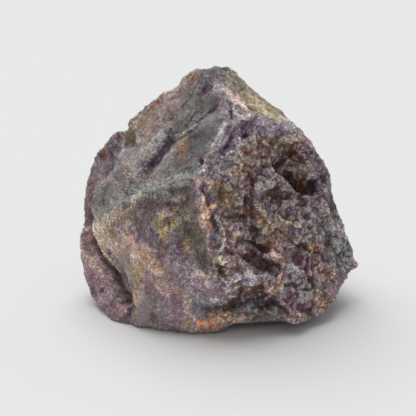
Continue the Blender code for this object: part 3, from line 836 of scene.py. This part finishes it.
# rock of the sides that the strokes don't reach: broad patches, one over the other
hiddenTints = {
    "base": "ash",
    # (colour, size in mm, seed, strength, crispness, cover)
    "patches": [
        ("brownViolet", 9.0, 51, 1.0, 3.0, 0.4),
        ("satinGrey", 7.0, 61, 1.0, 4.0, -0.3),
        ("tan", 6.0, 71, 1.0, 4.0, -0.6),
        ("brownViolet", 5.0, 91, 0.9, 4.0, -0.4),
        ("mossGrey", 4.0, 97, 0.8, 4.0, -0.7),
    ],
}


def linearColour(name):
    share = np.array(stoneColours[name]) / 255.0
    return np.where(share <= 0.04045, share / 12.92, ((share + 0.055) / 1.055) ** 2.4)


def blend(colours, name, weight, tone=1.0):
    return colours + (linearColour(name) * tone - colours) * weight[:, None]


def paintTint(samples):
    colours = np.tile(linearColour(hiddenTints["base"]), (len(samples), 1))
    for name, size, seed, strength, crisp, cover in hiddenTints["patches"]:
        patch = smoothStep(softNoise(samples, size, seed, 3) * crisp + cover)
        colours = blend(colours, name, strength * patch)
    broken = 0.55 + 0.45 * smoothStep(1.1 + 1.6 * fray)  # the paint covers unevenly
    # each part's tone paints it darker where the key light falls most: painted shade
    for tone, strokes in tints.values():
        for name, reach, strength, line in strokes:
            colours = blend(colours, name, strength * broken * strokeShape(reach, line, 1.0), tone)
    return colours


def addNumbers(mesh, name, values):
    mesh.attributes.new(name, "FLOAT", "POINT").data.foreach_set("value", values.astype(np.float32))


def addColours(mesh, name, values):
    colours = np.concatenate((values, np.ones((len(values), 1))), axis=1).astype(np.float32)
    mesh.attributes.new(name, "FLOAT_COLOR", "POINT").data.foreach_set("color", colours.ravel())


size, _, seed, _ = relief["coarse"][1]
grainTone = grainCells(points, size, seed)[2][:, 1]
addColours(skin.data, "tint", paintTint(points + wander))
for name, strokes in flecks.items():
    cover = np.maximum(strokeWeight(strokes), fewFlecks + roughFlecks * roughPlaces)
    addNumbers(skin.data, name, cover + followsRelief[name] * hollow * (1.0 - 0.6 * satin))
kinds = {"hollow": hollow, "grainy": grainy, "satin": satin, "streaky": streaky, "grainTone": grainTone}
for name, values in kinds.items():
    addNumbers(skin.data, name, values)
print("colours painted")


# Surface of the stone: fine pattern over the painted tints, in mm
stoneSurface = {
    "gain": 2.0,  # how much lighter the stone itself is than it looks in soft shade
    "specks": (0.26, 1.08, 0.42),  # size, contrast among white flecks, share of it elsewhere
    "fine": (0.5, 0.40),
    "patches": (2.0, 0.20),
    "grainSizes": (1.0, 0.5), "grainContrast": 0.60,
    # painted shade: hollows painted darker, in doublings
    "paintedHollowShade": 0.70,
    "streaks": (0.45, 0.8),  # width, contrast; they run down and to the left
    "streakRun": (-0.45, -0.35, -0.82),
    "saturation": (1.3, 0.6),  # in dark spots, in light ones
    "shadeTint": (1.06, 0.86, 0.96, 1.0), "lightTint": (0.99, 1.02, 0.99, 1.0),
    "warmDrift": (1.3, (0.95, 1.0, 1.06, 1.0), (1.07, 1.0, 0.90, 1.0)),  # size, one side, other side
    "violetDrift": (1.6, (1.03, 0.96, 1.04, 1.0), (0.97, 1.04, 0.95, 1.0)),
    "violetFlecks": {"colour": (0.13, 0.075, 0.15, 1.0), "size": 1.0, "crisp": 2.5, "strength": 1.0},
    "rustFlecks": {"colour": (0.29, 0.13, 0.05, 1.0), "size": 0.9, "crisp": 2.2, "strength": 0.6},
    "whiteFlecks": {"colour": (0.62, 0.60, 0.60, 1.0), "size": 0.38, "crisp": 4.0, "strength": 0.55},
    "roughness": (0.42, 0.78),  # satin to grainy
    "bumpDepth": 0.16, "bumpFine": 0.25, "bumpGrains": 2.2,
    "satinCalm": (0.6, 0.45),  # what satin places keep of the pattern, of the bump
}


def stoneMaterial(made):
    material = bpy.data.materials.new("violet_fluorite_rock")
    material.use_nodes = True
    nodes, links = material.node_tree.nodes, material.node_tree.links
    shader = nodes["Principled BSDF"]

    def add(kind, settings=(), **sockets):
        node = nodes.new("ShaderNode" + kind)
        for key, value in dict(settings).items():
            setattr(node, key, value)
        for key, value in sockets.items():
            socket = node.inputs[int(key[1:])] if key[0] == "i" and key[1:].isdigit() else node.inputs[key]
            if isinstance(value, bpy.types.NodeSocket):
                links.new(value, socket)
            else:
                socket.default_value = value
        return node

    def attribute(name):
        return add("Attribute", {"attribute_name": name}).outputs

    def maths(operation, a, b, clamp=False):
        return add("Math", {"operation": operation, "use_clamp": clamp}, i0=a, i1=b).outputs[0]

    def plus(a, b):
        return maths("ADD", a, b)

    def times(a, b):
        return maths("MULTIPLY", a, b)

    def vectors(operation, a, b):
        return add("VectorMath", {"operation": operation}, i0=a, i1=b).outputs

    def scaled(vector, factor):
        return add("VectorMath", {"operation": "SCALE"}, i0=vector, Scale=factor).outputs[0]

    def spread(value, low, high, newLow=0.0, newHigh=1.0):
        return add("MapRange", {"clamp": True}, i0=value, i1=low, i2=high, i3=newLow, i4=newHigh).outputs[0]

    def bothWays(value, low=0.0, high=1.0):  # from -1 to 1
        return spread(value, low, high, -1.0, 1.0)

    def mixColour(factor, a, b, how="MIX"):
        return add("Mix", {"data_type": "RGBA", "blend_type": how}, i0=factor, i6=a, i7=b).outputs[2]

    def toned(colour, by):
        return mixColour(1.0, colour, by, "MULTIPLY")

    inMm = scaled(add("TexCoord").outputs["Object"], 1.0 / mm)

    def noise(size, detail=2.0, shift=0.0, rough=0.6, place=inMm):
        moved = vectors("ADD", place, (shift, shift * 1.7, -shift))[0]
        texture = add("TexNoise", Vector=moved, Scale=1.0 / size, Detail=detail, Roughness=rough)
        return texture.outputs["Fac"]

    def cloud(size, shift):
        return spread(noise(size, 4.0, shift, 0.6), 0.28, 0.72)

    def flecked(under, name, even):
        # flecks that cover the painted share of the surface
        fleck = made[name]
        over = maths("SUBTRACT", plus(even, attribute(name)["Fac"]), 1.0)
        cover = times(maths("MULTIPLY", over, fleck["crisp"], True), fleck["strength"])
        return mixColour(cover, under, fleck["colour"])

    def tiltedGrains(size):
        # flat-faced small grains: height of each grain's own plane, and a number of its own
        grains = add("TexVoronoi", Vector=inMm, Scale=1.0 / size).outputs
        offset = vectors("SUBTRACT", scaled(inMm, 1.0 / size), grains["Position"])[0]
        tilt = vectors("SUBTRACT", grains["Color"], (0.5, 0.5, 0.5))[0]
        own = add("SeparateColor", i0=grains["Color"]).outputs[0]
        return times(vectors("DOT_PRODUCT", offset, tilt)["Value"], size), own

    grainy, satin = attribute("grainy")["Fac"], attribute("satin")["Fac"]
    hollow, tone = attribute("hollow")["Fac"], attribute("grainTone")["Fac"]
    bigHeight, bigOwn = tiltedGrains(made["grainSizes"][0])
    smallHeight, smallOwn = tiltedGrains(made["grainSizes"][1])
    grainValue = plus(times(bigOwn, 0.5), times(smallOwn, 0.5))

    # how light each place is, in doublings
    fine = bothWays(noise(made["fine"][0], 4.0, 0.0, 0.7), 0.3, 0.7)
    patches = bothWays(noise(made["patches"][0], 4.0, 5.0, 0.65), 0.3, 0.7)
    size, contrast, elsewhere = made["specks"]
    sparkle = spread(attribute("whiteFlecks")["Fac"], 0.1, 0.5, elsewhere * contrast, contrast)
    specks = times(bothWays(tiltedGrains(size)[1]), sparkle)
    lightness = plus(specks, times(fine, made["fine"][1]))
    lightness = plus(lightness, times(patches, made["patches"][1]))
    lightness = times(lightness, spread(satin, 0.0, 1.0, 1.0, made["satinCalm"][0]))
    mosaic = plus(bothWays(grainValue), times(bothWays(tone), 0.4))
    broken = maths("SUBTRACT", grainy, satin)
    someGrain = spread(broken, -1.0, 1.0)
    lightness = plus(lightness, times(times(mosaic, someGrain), made["grainContrast"]))
    # painted shade: hollows in the relief are painted darker
    lightness = maths("SUBTRACT", lightness, times(hollow, made["paintedHollowShade"]))
    run = made["streakRun"]
    slip = scaled(run, times(vectors("DOT_PRODUCT", inMm, run)["Value"], -0.8))
    width, contrast = made["streaks"]
    streak = noise(width, 3.0, place=vectors("ADD", inMm, slip)[0])
    streak = times(bothWays(streak, 0.33, 0.67), attribute("streaky")["Fac"])
    lightness = plus(lightness, times(streak, contrast))
    factor = times(maths("POWER", 2.0, lightness), made["gain"])

    colour = attribute("tint")["Color"]
    colour = flecked(colour, "violetFlecks", cloud(made["violetFlecks"]["size"], 13.0))
    colour = flecked(colour, "rustFlecks", cloud(made["rustFlecks"]["size"], 21.0))
    saturation = spread(lightness, -0.8, 1.3, *made["saturation"])
    colour = add("HueSaturation", Saturation=saturation, Color=colour).outputs[0]
    colour = toned(colour, factor)
    colour = toned(colour, mixColour(spread(lightness, 0.6, -1.2), made["lightTint"], made["shadeTint"]))
    for drift, shift in (("warmDrift", 41.0), ("violetDrift", 57.0)):
        size, oneSide, otherSide = made[drift]
        turned = mixColour(spread(noise(size, 2.0, shift, 0.5), 0.36, 0.64), oneSide, otherSide)
        colour = toned(colour, turned)
    whiteGrain = tiltedGrains(made["whiteFlecks"]["size"])[1]
    colour = flecked(colour, "whiteFlecks", plus(times(whiteGrain, 0.7), times(cloud(0.8, 33.0), 0.3)))
    links.new(colour, shader.inputs["Base Color"])

    rough = spread(broken, -1.0, 1.0, *made["roughness"])
    links.new(plus(rough, times(fine, 0.05)), shader.inputs["Roughness"])

    planes = times(plus(bigHeight, smallHeight), plus(someGrain, 0.3))
    height = plus(times(fine, made["bumpFine"]), times(planes, made["bumpGrains"]))
    height = times(height, spread(satin, 0.0, 1.0, 1.0, made["satinCalm"][1]))
    bump = add("Bump", Height=height, Distance=made["bumpDepth"] * mm, Strength=1.0)
    links.new(bump.outputs[0], shader.inputs["Normal"])
    return material


skin.data.materials.clear()
skin.data.materials.append(stoneMaterial(stoneSurface))
skin.data.polygons.foreach_set("use_smooth", [True] * len(skin.data.polygons))
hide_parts("stone")
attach(skin, "root")
print("stone dressed:", sum(len(face.vertices) - 2 for face in skin.data.polygons), "triangles")


# Floor and light
studio = {
    "floor": (0.80, 0.80, 0.80, 1.0), "floorRoughness": 0.9,
    "floorSize": 4.0,  # m
    "world": (0.985, 1.0, 1.0, 1.0),
    "worldStrength": 0.46, "frontStrength": 0.18,  # the room is brighter above and behind the stone
    "brightFrom": (0.0, 0.6, 0.8), "brightRange": (-0.6, 0.8),
    "keyStrength": 2.1, "keyAngle": 60.0,  # a wide soft light
    "keyFrom": (-0.20, 0.40, 1.0),
}


def makeStudio(made):
    half = made["floorSize"] / 2
    mesh = bpy.data.meshes.new("floor")
    corners = [(-half, -half, 0), (half, -half, 0), (half, half, 0), (-half, half, 0)]
    mesh.from_pydata(corners, [], [(0, 1, 2, 3)])
    floor = addObject("floor", mesh)
    paper = bpy.data.materials.new("pale_floor")
    paper.use_nodes = True
    shader = paper.node_tree.nodes["Principled BSDF"]
    shader.inputs["Base Color"].default_value = made["floor"]
    shader.inputs["Roughness"].default_value = made["floorRoughness"]
    mesh.materials.append(paper)

    world = bpy.data.worlds.new("soft_room")
    world.use_nodes = True
    nodes, links = world.node_tree.nodes, world.node_tree.links
    background = nodes["Background"]
    background.inputs["Color"].default_value = made["world"]
    direction = nodes.new("ShaderNodeTexCoord")
    lean = nodes.new("ShaderNodeVectorMath")
    lean.operation = "DOT_PRODUCT"
    lean.inputs[1].default_value = made["brightFrom"]
    strength = nodes.new("ShaderNodeMapRange")
    ends = (*made["brightRange"], made["frontStrength"], made["worldStrength"])
    for name, value in zip(("From Min", "From Max", "To Min", "To Max"), ends):
        strength.inputs[name].default_value = value
    links.new(direction.outputs["Generated"], lean.inputs[0])
    links.new(lean.outputs["Value"], strength.inputs["Value"])
    links.new(strength.outputs["Result"], background.inputs["Strength"])
    bpy.context.scene.world = world

    key = bpy.data.lights.new("key", "SUN")
    key.angle = math.radians(made["keyAngle"])
    key.energy = made["keyStrength"]
    lamp = addObject("key", key)
    lamp.rotation_mode = "QUATERNION"
    lamp.rotation_quaternion = Vector(made["keyFrom"]).to_track_quat("Z", "Y")
    bpy.context.scene.view_settings.view_transform = "Standard"


makeStudio(studio)
print("studio lit")
